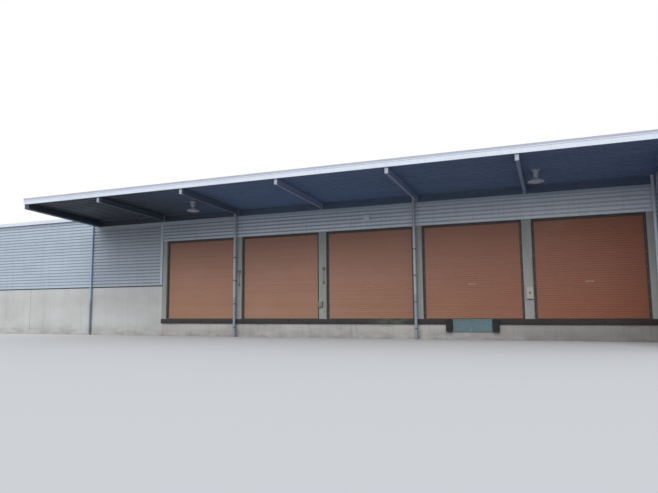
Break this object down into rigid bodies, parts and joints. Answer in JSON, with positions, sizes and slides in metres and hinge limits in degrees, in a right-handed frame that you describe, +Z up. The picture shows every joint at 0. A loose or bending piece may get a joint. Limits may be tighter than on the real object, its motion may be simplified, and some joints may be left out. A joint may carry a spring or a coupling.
{
  "type": "factory building",
  "caption": "Long metal-clad factory hall on concrete base walls, with closed roller shutters on a raised loading dock and a steel canopy over it.",
  "frame": {"origin": "centre of the footprint at ground level", "axes": "+X along the frontage to the right, +Y from the dock front into the hall, +Z up"},
  "size_m": [39.568, 23.302, 7.74],
  "materials": {
    "concrete": "matte, weathered",
    "dock_concrete": "matte, stained",
    "cladding_sheet": "satin coated sheet",
    "flashing": "satin coated sheet",
    "shutter_paint": "satin, faded",
    "guide_steel": "satin",
    "rail_rubber": "matte, scuffed",
    "bumper_rubber": "matte",
    "leveller_paint": "worn paint",
    "pipe_paint": "satin",
    "roof_sheet": "matte coated sheet",
    "canopy_dark": "matte",
    "canopy_steel": "satin",
    "coping": "satin coated sheet",
    "gutter_zinc": "dull galvanised",
    "lamp_paint": "satin",
    "box_paint": "satin"
  },
  "bodies": {
    "root": {"dock_wall": "dock_concrete", "floor_slab": "concrete", "column_0": "concrete", "column_1": "concrete", "column_2": "concrete", "column_3": "concrete", "column_4": "concrete", "column_5": "concrete", "shutter_1": "shutter_paint", "shutter_2": "shutter_paint", "shutter_3": "shutter_paint", "shutter_4": "shutter_paint", "shutter_5": "shutter_paint", "shutter_guides": "guide_steel", "head_beam": "concrete", "cladding_over_doors": "cladding_sheet", "cladding_left_bay": "cladding_sheet", "cladding_left_section": "cladding_sheet", "base_left_bay": "concrete", "base_left_section": "concrete", "left_end_base": "concrete", "left_end_cladding": "cladding_sheet", "right_end_base": "concrete", "right_end_cladding": "cladding_sheet", "rear_base": "concrete", "rear_cladding": "cladding_sheet", "flank_base": "concrete", "flank_cladding": "cladding_sheet", "wall_flashings": "flashing", "roof_front_slope": "roof_sheet", "roof_rear_slope": "roof_sheet", "ridge_cap": "roof_sheet", "verge_flashings": "flashing", "front_gutter": "flashing", "rear_gutter": "flashing", "bumper_rail": "rail_rubber", "dock_leveller": "leveller_paint", "dock_bumpers": "bumper_rubber", "downpipes": "pipe_paint", "canopy_wall_beam": "canopy_dark", "canopy_end_beam": "canopy_steel", "canopy_rafters": "canopy_steel", "canopy_deck": "canopy_dark", "canopy_gutter": "gutter_zinc", "canopy_fascia": "flashing", "canopy_coping": "coping", "lamp_left": "lamp_paint", "lamp_right": "lamp_paint", "wall_light": "lamp_paint", "control_boxes": "box_paint"}
  },
  "joints": []
}
